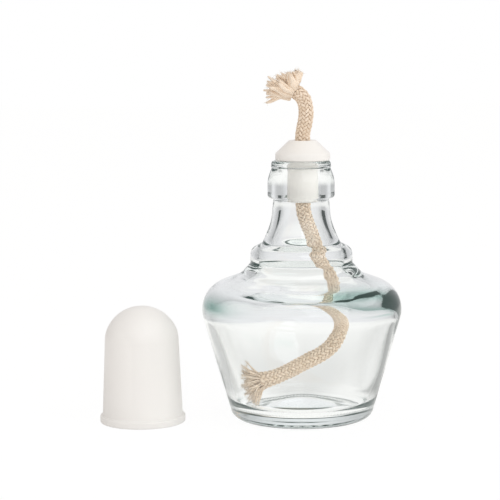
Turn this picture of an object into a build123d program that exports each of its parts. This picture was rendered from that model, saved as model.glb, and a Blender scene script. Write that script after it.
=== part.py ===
from build123d import *
import math
import os

# Laboratory spirit lamp, in millimetres. The origin is the centre of the bottle's foot,
# +Z is up, and the lamp stands on the plane z = 0 with its snuffer cap beside it.

# Bottle, outside
body_radius = 40.0
widest_height = 44.0
shoulder_round = 12.0
wall_lean = 16.1
shoulder_slope = 20.4
foot_round = 4.3
bearing_width = 3.6
collar_radius = 20.4
collar_ramp_width = 4.0
collar_ramp_rise = 3.0
collar_side = 5.6
collar_round = 3.4
collar_foot_round = 1.5
shelf_rise = 2.4
neck_foot_radius = 15.6
neck_foot_round = 1.5
neck_waist_radius = 11.95
neck_waist_rise = 8.4
neck_sweep = 22.0
neck_radius = 11.05
neck_height = 18.1
bead_radius = 13.4
bead_side = 7.6
bead_cone = 4.5
bead_round = 14.0
bead_foot_round = 1.0
lip_radius = 11.9
lip_height = 2.7
lip_groove = 0.45
lip_round = 1.3
fine_round = 0.5

# Bottle, inside
mouth_radius = 8.0
mouth_depth = 23.0
inner_neck_sweep = 32.0
side_wall = 3.0
shoulder_wall = 4.0
collar_wall = 3.2
inner_round = 6.5
collar_inner_round = 2.5
floor_thickness = 4.6
floor_round = 7.0
floor_ledge = 5.6
push_up = 2.2

# Level at which the bottle's solid is cut into its body and its neck, above the neck's foot
neck_cut_rise = 3.0

# Wick holder, which rests loose on the lip and stands this far off the bottle's axis
holder_x = 0.7
sleeve_clearance = 1.75
sleeve_length = 16.5
sleeve_round = 0.9
flange_setback = 0.95
flange_band = 2.8
flange_round = 0.5
holder_height = 8.0
holder_rim = 2.0

# Wick
wick_diameter = 6.2
wick_clearance = 0.3
jacket_wall = 1.3
core_clearance = 0.1
arc_share = 0.45
top_fray_length = 8.0
top_fray_radius = 6.0
tail_fray_length = 8.6
tail_fray_radius = 5.8
fray_round = 1.0

# Snuffer cap
cap_x = -64.0
cap_y = -7.0
cap_wall = 1.2
cap_clearance = 0.1
cap_skirt_height = 32.8
cap_skirt_spread = 1.3
cap_dome_rise = 13.7
cap_dome_shoulder = 12.0
cap_rim_height = 2.8
cap_rim_proud = 1.0
cap_rim_round = 0.5

# Bottle levels, worked out from the foot upwards
lean = math.radians(wall_lean)
slope = math.radians(shoulder_slope)
round_centre = body_radius - shoulder_round


def body_corner(side_reach, shoulder_reach):
    """Corner where a wall line and a shoulder line meet, each this far from the shoulder's centre."""
    spread = math.cos(slope - lean)
    out = (side_reach * math.cos(slope) + shoulder_reach * math.sin(lean)) / spread
    up = (shoulder_reach * math.cos(lean) - side_reach * math.sin(slope)) / spread
    return round_centre + out, widest_height + up


def wall_radius(height, reach):
    """Radius of the leaning wall line at a height."""
    return round_centre + (reach + (height - widest_height) * math.sin(lean)) / math.cos(lean)


def shoulder_height(radius, reach):
    """Height of the sloping shoulder line at a radius."""
    return widest_height + (reach - (radius - round_centre) * math.sin(slope)) / math.cos(slope)


ramp_radius = collar_radius + collar_ramp_width
collar_foot = shoulder_height(collar_radius, shoulder_round) + collar_ramp_rise
collar_top = collar_foot + collar_side
neck_foot = collar_top + shelf_rise
neck_waist = neck_foot + neck_waist_rise
bead_foot = neck_foot + neck_height
bead_top = bead_foot + bead_side
groove_height = bead_top + bead_cone
lip_top = groove_height + lip_height

# Holder and wick levels, which follow the lip that the holder rests on
sleeve_foot = lip_top - sleeve_length
holder_top = lip_top + holder_height
sleeve_radius = mouth_radius - sleeve_clearance
flange_radius = lip_radius - flange_setback
wick_radius = wick_diameter / 2
wick_bore_radius = wick_radius + wick_clearance
core_radius = wick_radius - jacket_wall - core_clearance

# The wick's free stretches: points measured from the middle of the holder's top and of the sleeve's foot
top_route = [
    (0.0, 0.0, 0.0),
    (0.0, 0.0, 2.6),
    (0.9, -0.1, 6.4),
    (1.5, -0.3, 10.2),
    (1.1, -0.5, 14.2),
    (-1.0, -0.8, 18.6),
    (-4.9, -1.1, 20.8),
]
tail_route = [
    (0.0, 0.0, 0.0),
    (0.0, 0.0, -3.6),
    (1.7, 0.6, -8.6),
    (4.2, 1.6, -15.5),
    (7.6, 3.0, -24.6),
    (11.0, 4.6, -33.2),
    (14.4, 6.0, -41.5),
    (16.3, 6.8, -50.0),
    (14.4, 6.9, -56.5),
    (8.6, 6.3, -61.6),
    (0.2, 5.0, -65.5),
    (-8.2, 3.6, -69.8),
    (-14.2, 2.5, -72.0),
    (-17.8, 1.8, -72.7),
]


def dome(rim_radius, rim_height, rise):
    """Arc from a rim up to the axis, which it meets square."""
    ball = (rim_radius**2 + rise**2) / (2 * rise)
    halfway = rim_height + rise - ball + math.sqrt(ball**2 - rim_radius**2 / 4)
    return ThreePointArc((rim_radius, rim_height), (rim_radius / 2, halfway), (0, rim_height + rise))


def oval_dome(rim_radius, rim_height, rise, shoulder):
    """Upright shoulder arc from a rim, then the flatter crown arc that it runs into, up to the axis."""
    inset = rim_radius - shoulder
    crown = (inset**2 + rise**2 - shoulder**2) / (2 * (rise - shoulder))
    turn = math.degrees(math.atan2(crown - rise, inset))
    CenterArc((inset, rim_height), shoulder, 0, turn)
    CenterArc((0, rim_height + rise - crown), crown, turn, 90 - turn)


def rounded_line(corners):
    """Line through (radius, height, rounding) corners. The two ends have no rounding."""
    points = [(corner[0], corner[1]) for corner in corners]
    roundings = [corner[2] for corner in corners[1:-1]]
    return FilletPolyline(*points, radius=roundings)


def make_bottle():
    """Blown glass bottle: a closed half-section turned about the axis, then cut across into body and neck."""
    inner_side = shoulder_round - side_wall
    inner_shoulder = shoulder_round - shoulder_wall
    foot_turn = math.tan((math.pi / 2 - lean) / 2)
    foot_corner = wall_radius(0, shoulder_round)
    push_up_radius = foot_corner - foot_round * foot_turn - bearing_width
    floor_corner = wall_radius(floor_thickness, inner_side)
    floor_dome_radius = floor_corner - floor_round * foot_turn - floor_ledge
    corner_radius, corner_height = body_corner(shoulder_round, shoulder_round)
    hollow_radius, hollow_height = body_corner(inner_side, inner_shoulder)
    collar_hollow = collar_radius - collar_wall
    ramp_hollow = collar_hollow + collar_ramp_width
    collar_hollow_foot = shoulder_height(collar_hollow, inner_shoulder) + collar_ramp_rise
    outside = [
        (push_up_radius, 0, 0),
        (foot_corner, 0, foot_round),
        (corner_radius, corner_height, shoulder_round),
        (ramp_radius, shoulder_height(ramp_radius, shoulder_round), 2 * collar_ramp_width),
        (collar_radius, collar_foot, collar_foot_round),
        (collar_radius, collar_top, collar_round),
        (neck_foot_radius, neck_foot, neck_foot_round),
        (neck_waist_radius, neck_waist, neck_sweep),
        (neck_radius, bead_foot, fine_round),
        (bead_radius, bead_foot, bead_foot_round),
        (bead_radius, bead_top, bead_round),
        (lip_radius - lip_groove, groove_height, fine_round),
        (lip_radius, groove_height + lip_groove, fine_round),
        (lip_radius, lip_top, lip_round),
    ]
    inside = [
        (mouth_radius, lip_top, lip_round),
        (mouth_radius, lip_top - mouth_depth, inner_neck_sweep),
        (neck_foot_radius - collar_wall, neck_foot - fine_round, inner_round),
        (collar_hollow, collar_top - collar_wall / 2, collar_inner_round),
        (collar_hollow, collar_hollow_foot, inner_round),
        (ramp_hollow, shoulder_height(ramp_hollow, inner_shoulder), inner_round),
        (hollow_radius, hollow_height, inner_side),
        (floor_corner, floor_thickness, floor_round),
        (floor_dome_radius, floor_thickness, 0),
    ]
    with BuildPart() as bottle:
        with BuildSketch(Plane.XZ):
            with BuildLine():
                rounded_line(outside + inside)
                dome(floor_dome_radius, floor_thickness, push_up)
                Line((0, floor_thickness + push_up), (0, push_up))
                dome(push_up_radius, 0, push_up)
            make_face()
        revolve(axis=Axis.Z)
    cut = Plane.XY.offset(neck_foot + neck_cut_rise)
    return split(bottle.part, bisect_by=cut, keep=Keep.BOTTOM), split(bottle.part, bisect_by=cut, keep=Keep.TOP)


def make_wick_holder():
    """Porcelain stopper: a coned flange that rests on the lip, over a sleeve that hangs in the neck."""
    section = [
        (wick_bore_radius, sleeve_foot, 0),
        (sleeve_radius, sleeve_foot, sleeve_round),
        (sleeve_radius, lip_top, flange_round),
        (flange_radius, lip_top, flange_round),
        (flange_radius, lip_top + flange_band, flange_round),
        (wick_bore_radius + holder_rim, holder_top, flange_round),
        (wick_bore_radius, holder_top, 0),
    ]
    with BuildPart() as holder:
        with BuildSketch(Plane.XZ):
            with BuildLine():
                rounded_line(section)
                Line((wick_bore_radius, holder_top), (wick_bore_radius, sleeve_foot))
            make_face()
        revolve(axis=Axis.Z)
    return Pos(holder_x, 0, 0) * holder.part


def route_line(name, route, start_height):
    """Straight runs joined by tangent arcs, each as large as its two runs allow."""
    points = [Vector(holder_x + x, y, start_height + z) for x, y, z in route]
    runs = [after - before for before, after in zip(points, points[1:])]
    radii = []
    for before, after in zip(runs, runs[1:]):
        half_turn = math.radians(before.get_angle(after)) / 2
        radii.append(arc_share * min(before.length, after.length) / math.tan(half_turn))
    print(name, "arc radii", [round(radius, 1) for radius in radii])
    return FilletPolyline(*points, radius=radii)


def carry(section, path):
    """Carries a flat section along a path from its start."""
    return sweep(Plane(origin=path @ 0, z_dir=path % 0) * section, path=path)


def make_wick(path):
    """Braided jacket and the bundle of yarns inside it, along one stretch of the wick."""
    jacket_section = Circle(wick_radius) - Circle(wick_radius - jacket_wall)
    jacket = carry(jacket_section, path)
    core = carry(Circle(core_radius), path)
    share = jacket.volume / (jacket_section.area * path.length)
    print("stretch of", round(path.length, 1), "mm, volume over section times length", round(share, 4))
    return jacket, core


def make_fray(path, length, radius):
    """Flared bundle of loose yarn ends, standing square on the end of a stretch."""
    end = Plane(origin=path @ 1, z_dir=path % 1)
    flare = Pos(0, 0, length / 2) * Cone(wick_radius, radius, length)
    flare = fillet(flare.edges().sort_by(Axis.Z)[-1], fray_round)
    return end * flare


def make_cap():
    """Snuffer cap: a tapering skirt with a flat-topped dome, open below, and a rim round its mouth."""
    top_radius = bead_radius + cap_clearance + cap_wall
    foot_radius = top_radius + cap_skirt_spread
    rim_radius = foot_radius + cap_rim_proud
    hollow_radius = top_radius - cap_wall
    hollow_rise = cap_dome_rise - cap_wall
    cap_height = cap_skirt_height + cap_dome_rise
    outside = [
        (foot_radius - cap_wall, 0, 0),
        (rim_radius, 0, cap_rim_round),
        (rim_radius, cap_rim_height, cap_rim_round),
        (foot_radius, cap_rim_height, cap_rim_round),
        (top_radius, cap_skirt_height, 0),
    ]
    with BuildPart() as cap:
        with BuildSketch(Plane.XZ):
            with BuildLine():
                rounded_line(outside)
                oval_dome(top_radius, cap_skirt_height, cap_dome_rise, cap_dome_shoulder)
                Line((0, cap_height), (0, cap_height - cap_wall))
                oval_dome(hollow_radius, cap_skirt_height, hollow_rise, cap_dome_shoulder - cap_wall)
                Line((hollow_radius, cap_skirt_height), (foot_radius - cap_wall, 0))
            make_face()
        revolve(axis=Axis.Z)
    return Pos(cap_x, cap_y, 0) * cap.part


bottle_body, bottle_neck = make_bottle()
top_path = route_line("wick top", top_route, holder_top)
seat_path = Line((holder_x, 0, sleeve_foot), (holder_x, 0, holder_top))
tail_path = route_line("wick tail", tail_route, sleeve_foot)
top_jacket, top_core = make_wick(top_path)
seat_jacket, seat_core = make_wick(seat_path)
tail_jacket, tail_core = make_wick(tail_path)

nodes = {
    "bottle_body": bottle_body,
    "bottle_neck": bottle_neck,
    "wick_holder": make_wick_holder(),
    "wick_jacket_top": top_jacket,
    "wick_jacket_seat": seat_jacket,
    "wick_jacket_tail": tail_jacket,
    "wick_core_top": top_core,
    "wick_core_seat": seat_core,
    "wick_core_tail": tail_core,
    "wick_fray_top": make_fray(top_path, top_fray_length, top_fray_radius),
    "wick_fray_tail": make_fray(tail_path, tail_fray_length, tail_fray_radius),
    "snuffer_cap": make_cap(),
}

os.makedirs("parts", exist_ok=True)
for name, solid in nodes.items():
    export_step(solid, f"parts/{name}.step")
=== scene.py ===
import math

import bpy
import numpy as np
from bpy.props import FloatProperty, FloatVectorProperty, IntProperty, PointerProperty
from mathutils import Matrix, Vector


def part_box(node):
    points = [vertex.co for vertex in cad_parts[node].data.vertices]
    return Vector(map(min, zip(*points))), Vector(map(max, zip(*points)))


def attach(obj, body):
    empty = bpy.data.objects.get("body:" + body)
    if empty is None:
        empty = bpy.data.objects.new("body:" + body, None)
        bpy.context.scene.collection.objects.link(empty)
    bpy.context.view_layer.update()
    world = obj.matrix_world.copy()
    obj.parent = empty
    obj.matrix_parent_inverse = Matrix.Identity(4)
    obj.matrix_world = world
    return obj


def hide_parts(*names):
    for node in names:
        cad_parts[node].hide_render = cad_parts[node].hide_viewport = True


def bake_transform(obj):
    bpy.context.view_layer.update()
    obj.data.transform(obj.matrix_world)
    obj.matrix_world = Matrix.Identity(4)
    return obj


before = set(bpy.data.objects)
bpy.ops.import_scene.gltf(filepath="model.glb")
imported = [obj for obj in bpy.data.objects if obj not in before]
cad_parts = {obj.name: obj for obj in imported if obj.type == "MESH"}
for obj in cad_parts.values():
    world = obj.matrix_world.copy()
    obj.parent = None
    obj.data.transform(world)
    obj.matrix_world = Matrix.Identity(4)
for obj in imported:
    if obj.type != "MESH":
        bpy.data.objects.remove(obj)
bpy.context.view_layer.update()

bl_info = {
    "name": "Spirit lamp",
    "version": (1, 0, 0),
    "blender": (4, 5, 0),
    "location": "3D View > Sidebar > Spirit lamp",
    "description": "Builds a glass spirit lamp with its porcelain holder, braided wick and snuffer cap",
    "category": "Add Mesh",
}

holder_low, holder_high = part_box("wick_holder")
holder_x = (holder_low.x + holder_high.x) / 2
cap_low, cap_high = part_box("snuffer_cap")
lip_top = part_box("bottle_neck")[1].z

# The wick's free stretches in metres, measured from the middle of the holder's top and of its sleeve's foot
top_route = [
    (0.0, 0.0, 0.0),
    (0.0, 0.0, 0.0026),
    (0.0009, -0.0001, 0.0064),
    (0.0015, -0.0003, 0.0102),
    (0.0012, -0.0005, 0.0142),
    (-0.0002, -0.0008, 0.0178),
    (-0.0031, -0.0010, 0.0195),
]
tail_route = [
    (0.0, 0.0, 0.0),
    (0.0, 0.0, -0.0036),
    (0.0017, 0.0006, -0.0086),
    (0.0042, 0.0016, -0.0155),
    (0.0074, 0.0030, -0.0246),
    (0.0112, 0.0046, -0.0326),
    (0.0146, 0.0060, -0.0405),
    (0.0154, 0.0068, -0.0495),
    (0.0134, 0.0069, -0.0565),
    (0.0086, 0.0063, -0.0616),
    (0.0002, 0.0050, -0.0655),
    (-0.0082, 0.0036, -0.0698),
    (-0.0142, 0.0025, -0.0720),
    (-0.0178, 0.0018, -0.0727),
]

black = (0.0, 0.0, 0.0, 1.0)
white = (1.0, 1.0, 1.0, 1.0)


def length(name, description, millimetres):
    """A size that a user can change, written in millimetres and kept in metres."""
    return FloatProperty(
        name=name, description=description, default=millimetres / 1000, min=0, unit="LENGTH", precision=5
    )


def angle(name, description, degrees):
    """An angle that a user can change, written in degrees."""
    return FloatProperty(name=name, description=description, default=math.radians(degrees), subtype="ANGLE")


def portion(name, description, default):
    """A share from none to all that a user can change."""
    return FloatProperty(name=name, description=description, default=default, min=0, max=1)


def amount(name, description, default):
    """A number from nought up that a user can change."""
    return FloatProperty(name=name, description=description, default=default, min=0)


def number_of(name, description, default):
    """A number of copies that a user can change."""
    return IntProperty(name=name, description=description, default=default, min=1)


def spot(name, description, default):
    """A place in the part's frame that a user can change."""
    return FloatVectorProperty(name=name, description=description, default=default, subtype="XYZ")


def colour(name, description, default):
    """A colour that a user can change."""
    return FloatVectorProperty(
        name=name, description=description, default=default, min=0, max=1, size=3, subtype="COLOR"
    )


class BottleShape(bpy.types.PropertyGroup):
    """Sizes of the glass bottle, outside and inside."""

    body_radius: length("Body radius", "Radius of the body where it is widest", 40.0)
    widest_height: length("Widest height", "Height at which the body is widest", 44.0)
    shoulder_round: length("Shoulder rounding", "Rounding between the wall and the shoulder", 12.0)
    wall_lean: angle("Wall lean", "Outward lean of the wall", 16.1)
    shoulder_slope: angle("Shoulder slope", "Slope of the shoulder", 20.4)
    foot_round: length("Foot rounding", "Rounding between the wall and the foot", 4.3)
    bearing_width: length("Bearing width", "Width of the ring that the bottle stands on", 3.6)
    collar_radius: length("Collar radius", "Radius of the upright collar", 20.4)
    collar_ramp_width: length("Collar ramp width", "Reach of the ramp below the collar", 4.0)
    collar_ramp_rise: length("Collar ramp rise", "Extra rise of the ramp below the collar", 3.0)
    collar_side: length("Collar side", "Height of the collar's upright side", 5.6)
    collar_round: length("Collar rounding", "Rounding of the collar's upper edge", 3.4)
    collar_foot_round: length("Collar foot rounding", "Rounding between the collar and its ramp", 1.5)
    shelf_rise: length("Shelf rise", "Rise of the sloping shelf above the collar", 2.4)
    neck_foot_radius: length("Neck foot radius", "Radius where the neck leaves the shelf", 15.6)
    neck_foot_round: length("Neck foot rounding", "Rounding between the neck and the shelf", 1.5)
    neck_waist_radius: length("Neck waist radius", "Radius of the corner that the neck sweeps round", 11.95)
    neck_waist_rise: length("Neck waist rise", "Height of that corner above the shelf", 8.4)
    neck_sweep: length("Neck sweep", "Radius of the neck's long hollow curve", 22.0)
    neck_radius: length("Neck radius", "Radius of the neck under its bead", 11.05)
    neck_height: length("Neck height", "Height of the neck from the shelf to the bead", 18.1)
    bead_radius: length("Bead radius", "Radius of the bead round the mouth", 13.4)
    bead_side: length("Bead side", "Height of the bead's upright side", 7.6)
    bead_cone: length("Bead cone", "Height of the cone above the bead's side", 4.5)
    bead_round: length("Bead rounding", "Rounding between the bead's side and its cone", 14.0)
    bead_foot_round: length("Bead foot rounding", "Rounding of the bead's lower edge", 1.0)
    lip_radius: length("Lip radius", "Radius of the lip", 11.9)
    lip_height: length("Lip height", "Height of the lip above its groove", 2.7)
    lip_groove: length("Lip groove", "Depth of the groove below the lip", 0.3)
    lip_round: length("Lip rounding", "Rounding of the lip's edges", 1.3)
    fine_round: length("Fine rounding", "Rounding of the sharpest edges", 0.9)
    mouth_radius: length("Mouth radius", "Radius of the mouth", 8.0)
    mouth_depth: length("Mouth depth", "Depth of the mouth before it widens", 23.0)
    inner_neck_sweep: length("Inner neck sweep", "Radius of the curve inside the neck", 32.0)
    side_wall: length("Side wall", "Thickness of the leaning wall", 3.0)
    shoulder_wall: length("Shoulder wall", "Thickness of the shoulder", 5.0)
    collar_wall: length("Collar wall", "Thickness of the collar", 3.2)
    inner_round: length("Inner rounding", "Rounding of the bends inside", 6.5)
    collar_inner_round: length("Collar inner rounding", "Rounding of the upper bend inside the collar", 2.5)
    shoulder_inner_round: length("Shoulder inner rounding", "Rounding of the shoulder's bend inside", 8.0)
    floor_thickness: length("Floor height", "Height of the floor inside, at its edge", 4.6)
    floor_round: length("Floor rounding", "Rounding between the floor and the wall inside", 7.0)
    floor_ledge: length("Floor ledge", "Width of the floor's flat edge", 5.6)
    push_up: length("Push-up", "Rise of the foot and the floor at the middle", 2.2)
    knurl_depth: length("Knurl depth", "Depth of the grooves across the bearing ring", 0.45)
    knurl_count: number_of("Knurls", "Number of bars on the bearing ring", 96)
    ripple: length("Ripple", "Unevenness of the blown inside", 0.16)
    ripple_start: length("Ripple, start", "Height at which that unevenness starts", 12.0)
    ripple_full: length("Ripple, full", "Height from which it is at its full depth", 22.0)
    even_start: length("Even, start", "Height at which the inside starts to turn even again", 52.0)
    even_full: length("Even, full", "Height from which the inside is even", 64.0)
    gather_right: length("Right gather", "Extra thickness of the shoulder's glass on the right", 1.6)
    gather_right_height: length("Right gather, height", "Height of its thickest part", 50.5)
    gather_right_reach: length("Right gather, reach", "How far it reaches up and down", 4.2)
    gather_right_turn: angle("Right gather, turn", "Direction of its thickest part", -20.0)
    gather_right_focus: amount("Right gather, focus", "How narrow it is round the axis", 2.2)
    gather_left: length("Left gather", "Extra thickness of the shoulder's glass on the left", 0.64)
    gather_left_height: length("Left gather, height", "Height of its thickest part", 47.5)
    gather_left_reach: length("Left gather, reach", "How far it reaches up and down", 4.0)
    gather_left_turn: angle("Left gather, turn", "Direction of its thickest part", -155.0)
    gather_left_focus: amount("Left gather, focus", "How narrow it is round the axis", 9.0)
    streak_height: length("Green streak, height", "Height of the green streak at the front", 53.0)
    streak_fall: length("Green streak, fall", "How far the streak falls towards the right", 7.0)
    streak_fall_start: angle("Green streak, fall start", "Direction in which it starts to fall", -50.0)
    streak_fall_end: angle("Green streak, fall end", "Direction in which it stops falling", 5.0)
    streak_reach: length("Green streak, reach", "How far the streak reaches up and down", 2.6)
    streak_start: angle("Green streak, start", "Direction in which the streak starts", -86.0)
    streak_full: angle("Green streak, full", "Direction from which it is at its full depth", -69.0)
    streak_fade: angle("Green streak, fade", "Direction in which it starts to fade", 17.0)
    streak_end: angle("Green streak, end", "Direction in which the streak ends", 52.0)
    patch_reach: length("Green patch, reach", "How far the patch on the left reaches up and down", 3.2)
    patch_focus: amount("Green patch, focus", "How narrow the patch is round the axis", 14.0)


class HolderShape(bpy.types.PropertyGroup):
    """Sizes of the porcelain wick holder."""

    sleeve_radius: length("Sleeve radius", "Radius of the sleeve in the neck", 6.25)
    sleeve_round: length("Sleeve rounding", "Rounding of the sleeve's foot", 0.9)
    flange_radius: length("Flange radius", "Radius of the flange on the lip", 10.95)
    flange_band: length("Flange band", "Height of the flange's upright edge", 2.8)
    flange_round: length("Flange rounding", "Rounding of the flange's edges", 0.5)
    rim_width: length("Rim width", "Width of the flat rim round the wick", 2.0)
    bore_radius: length("Bore radius", "Radius of the hole for the wick", 3.4)
    bore_round: length("Bore rounding", "Rounding of the hole's ends", 0.35)


class WickShape(bpy.types.PropertyGroup):
    """Sizes of the braided wick and its frayed ends."""

    diameter: length("Diameter", "Diameter of the wick", 6.2)
    pitch: length("Pitch", "Length in which a strand goes once round", 20.6)
    strands: number_of("Strands", "Strands that turn each way", 12)
    strand_width: length("Strand width", "Width of a strand", 1.12)
    strand_depth: length("Strand depth", "Thickness of a strand", 0.84)
    strand_change: portion("Strand change", "How much strands differ in width", 0.06)
    stray: length("Stray", "How far a strand strays from its place", 0.04)
    stray_length: length("Stray length", "Length over which it strays", 11.0)
    weave_depth: length("Weave depth", "Rise and fall of a strand as it goes over and under", 0.42)
    # Painted shade between the strands: it starts at this share of the braid's depth and is darkest from
    # the next
    gap_shade_start: portion("Hollow, start", "Share of the braid's depth at which gaps start to deepen", 0.08)
    gap_shade_end: portion("Hollow, end", "Share of that depth from which gaps are at their deepest", 0.62)
    core_radius: length("Core radius", "Radius of the bundle inside the braid", 1.95)
    yarn_width: length("Yarn width", "Thickness of a loose yarn at the frayed top", 1.9)
    fine_yarn_width: length("Fine yarn width", "Thickness of a loose yarn at the frayed tail", 0.55)
    fibre_width: length("Fibre width", "Thickness of a loose fibre", 0.10)
    top_yarns: number_of("Top yarns", "Loose yarns at the frayed top", 76)
    top_spread: length("Top spread", "Radius of the disc that the yarns at the top grow from", 3.6)
    top_lead: length("Top lead", "How far those yarns go on along the wick before they turn", 1.2)
    tail_yarns: number_of("Tail yarns", "Loose yarns at the frayed tail", 96)
    tail_spread: length("Tail spread", "Radius of the disc that the yarns at the tail grow from", 3.2)
    tail_lead: length("Tail lead", "How far those yarns go on along the wick before they turn", 1.6)
    tail_yarn_length: length("Tail yarn length", "Length of a loose yarn at the tail", 7.4)


class CapShape(bpy.types.PropertyGroup):
    """Sizes of the snuffer cap."""

    top_radius: length("Top radius", "Radius of the skirt below the dome", 14.7)
    skirt_spread: length("Skirt spread", "Widening of the skirt from the dome to the rim", 1.3)
    skirt_height: length("Skirt height", "Height at which the dome starts", 32.8)
    dome_rise: length("Dome rise", "Height of the dome", 13.7)
    dome_shoulder: length("Dome shoulder", "Radius of the dome's shoulder arc", 12.0)
    wall: length("Wall", "Thickness of the wall", 1.2)
    rim_proud: length("Rim", "How far the rim stands out", 1.0)
    rim_height: length("Rim height", "Height of the rim", 2.8)
    rim_round: length("Rim rounding", "Rounding of the rim's edges", 0.5)


class Finishes(bpy.types.PropertyGroup):
    """Colours of the lamp's materials."""

    glass: colour("Glass", "Colour of the light that passes the glass", (1.0, 1.0, 1.0))
    glass_green: colour("Glass, green", "Colour of the light that passes green glass", (0.30, 0.56, 0.48))
    glass_body: colour("Glass body", "Colour that thick glass takes on", (0.40, 0.72, 0.64))
    glass_density: amount("Glass density", "Share of light that thick glass takes, per metre", 3.0)
    # Painted glow: the glass gives off this faint light from every face, though it is no lamp
    painted_glass_glow: colour("Glass edge", "Colour of the light that runs inside the glass", (0.6, 1.0, 0.9))
    painted_glass_glow_strength: amount("Glass edge light", "Share of that light that leaves at each face", 0.010)
    porcelain: colour("Porcelain", "Colour of the holder", (0.94, 0.92, 0.89))
    cotton: colour("Cotton", "Colour of the wick's strands", (0.93, 0.795, 0.655))
    # Colour of the dark fibre streaks, and of the painted shade between the strands, over the core and near
    # the frayed roots
    cotton_streak_and_shade: colour("Cotton, deep", "Colour between the strands", (0.42, 0.27, 0.17))
    plastic: colour("Plastic", "Colour of the cap", (0.92, 0.905, 0.885))


class StageSettings(bpy.types.PropertyGroup):
    """Camera, floor and light."""

    camera_place: spot("Camera", "Place of the camera", (-0.02056, -0.715, 0.1555))
    camera_dip: angle("Camera dip", "How far the camera looks down", 7.0)
    camera_roll: angle("Camera roll", "Turn of the camera about its view", -0.46)
    camera_lens: amount("Lens", "Focal length in millimetres on a 36 mm sensor", 129.6)
    key_place: spot("Key place", "Place of the large soft light", (0.48, -0.80, 0.85))
    key_width: length("Key width", "Width and height of the large soft light", 1100.0)
    key_power: amount("Key power", "Power of the large soft light", 4.0)
    key_tone: colour("Key tone", "Colour of the large soft light", (0.92, 0.98, 1.0))
    fill_left: colour("Fill, left", "Light from the left on matt surfaces", (0.68, 0.65, 0.625))
    fill_right: colour("Fill, right", "Light from the right on matt surfaces", (1.0, 0.965, 0.94))
    glow: amount("Glow", "Strength of the light on matt surfaces in the bottle", 2.15)
    glow_left: colour("Glow, left", "Colour of that light from the left", (0.28, 0.255, 0.24))
    glow_right: colour("Glow, right", "Colour of that light from the right", (1.0, 0.98, 0.955))
    backdrop: colour("Backdrop", "Backdrop as gloss and glass show it", (0.84, 0.83, 0.85))
    dim: portion("Dim", "Share of light that the backdrop's sides lack", 0.42)
    dim_end: angle("Dim, end", "Turn from the backdrop's middle at which it stops dimming", 45.0)
    flag: colour("Flag", "Dark flags beside the backdrop, as gloss and glass show them", (0.02, 0.02, 0.02))
    left_flag: angle("Left flag", "Turn to the left at which the flag starts", 44.0)
    right_flag: angle("Right flag", "Turn to the right at which the flag starts", 37.0)
    flag_edge: angle("Flag edge", "Turn in which a flag goes dark", 5.0)
    flag_top: angle("Flag top", "Rise of the flags' upper edge", 13.0)
    front: colour("Front", "Front as gloss and glass show it", (0.72, 0.72, 0.72))
    front_start: angle("Front, start", "Turn to either side at which the bright front starts", 75.0)
    front_end: angle("Front, end", "Turn at which the front is at its brightest", 95.0)
    paper: colour("Paper", "Floor as gloss and glass show it", (0.98, 0.97, 0.955))
    paper_start: length("Paper, start", "Distance at which the floor starts to darken", 350.0)
    paper_end: length("Paper, end", "Distance at which the floor is as dark as the backdrop", 900.0)
    shade: portion("Shade", "Share of light that the floor behind the bottle lacks", 0.22)
    shade_start: angle("Shade, start", "Turn from the bottle's rear at which the shade starts to fade", 8.0)
    shade_end: angle("Shade, end", "Turn at which the shade ends", 36.0)
    shade_fade: length("Shade fade", "Distance at which the shade starts to fade", 78.0)
    shade_reach: length("Shade reach", "Distance at which the shade ends", 260.0)
    side_left: portion("Left side", "Share of light that the floor on the left lacks", 0.38)
    side_right: portion("Right side", "Share of light that the floor on the right lacks", 0.60)
    side_start: angle("Side, start", "Turn from the bottle's rear at which these sides start", 36.0)
    side_end: angle("Side, end", "Turn from which they are at their darkest", 48.0)
    side_near: length("Side, near", "Distance at which they start", 35.0)
    side_dark: length("Side, dark", "Distance from which they are at their darkest", 56.0)
    side_fade: length("Side, fade", "Distance at which they start to fade", 150.0)
    side_reach: length("Side, reach", "Distance at which they end", 200.0)


def unit(vectors):
    """Vectors of the same directions and of length one."""
    return vectors / np.linalg.norm(vectors, axis=-1, keepdims=True)


def smooth_step(low, high, values):
    """Zero up to low, one from high on, and the cubic that joins them smoothly between."""
    share = np.clip((values - low) / (high - low), 0, 1)
    return share * share * (3 - 2 * share)


def straight(start, end, spacing):
    """Points on a line, closer together towards its ends: half of one minus the cosine of an even angle."""
    count = max(3, math.ceil(np.linalg.norm(end - start) / spacing))
    share = (1 - np.cos(np.linspace(0, math.pi, count + 1))) / 2
    return start + (end - start) * share[:, None]


def arc(centre, radius, first, last, count):
    """Points on a circle between two angles."""
    turn = np.linspace(first, last, count + 1)
    return np.array(centre) + radius * np.stack([np.cos(turn), np.sin(turn)], axis=1)


def rounded_outline(corners, spacing=0.0026, arc_spacing=0.0009, fewest=4, most=14):
    """Line through (radius, height, rounding) corners. Each run stops short of a corner by the rounding
    times the tangent of half the turn, and the arc that touches both runs there takes the corner's
    place."""
    points = np.array([corner[:2] for corner in corners])
    runs = unit(np.diff(points, axis=0))
    stretches = []
    last = points[0]
    for point, before, after, corner in zip(points[1:-1], runs, runs[1:], corners[1:-1]):
        turn = math.atan2(before[0] * after[1] - before[1] * after[0], before @ after)
        trim = corner[2] * math.tan(abs(turn) / 2)
        start = point - before * trim
        count = min(most, max(fewest, math.ceil(corner[2] * abs(turn) / arc_spacing)))
        swing = np.linspace(0, abs(turn), count + 1)[:, None]
        side = np.array([-before[1], before[0]]) * math.copysign(1, turn)
        stretches.append(straight(last, start, spacing))
        stretches.append(start + corner[2] * (np.sin(swing) * before + (1 - np.cos(swing)) * side))
        last = point + after * trim
    stretches.append(straight(last, points[-1], spacing))
    return without_repeats(np.concatenate(stretches))


def without_repeats(outline, least=1e-6):
    """Outline with each point that repeats the one before it left out."""
    steps = np.linalg.norm(np.diff(outline, axis=0), axis=1)
    return outline[np.concatenate([[True], steps > least])]


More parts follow.
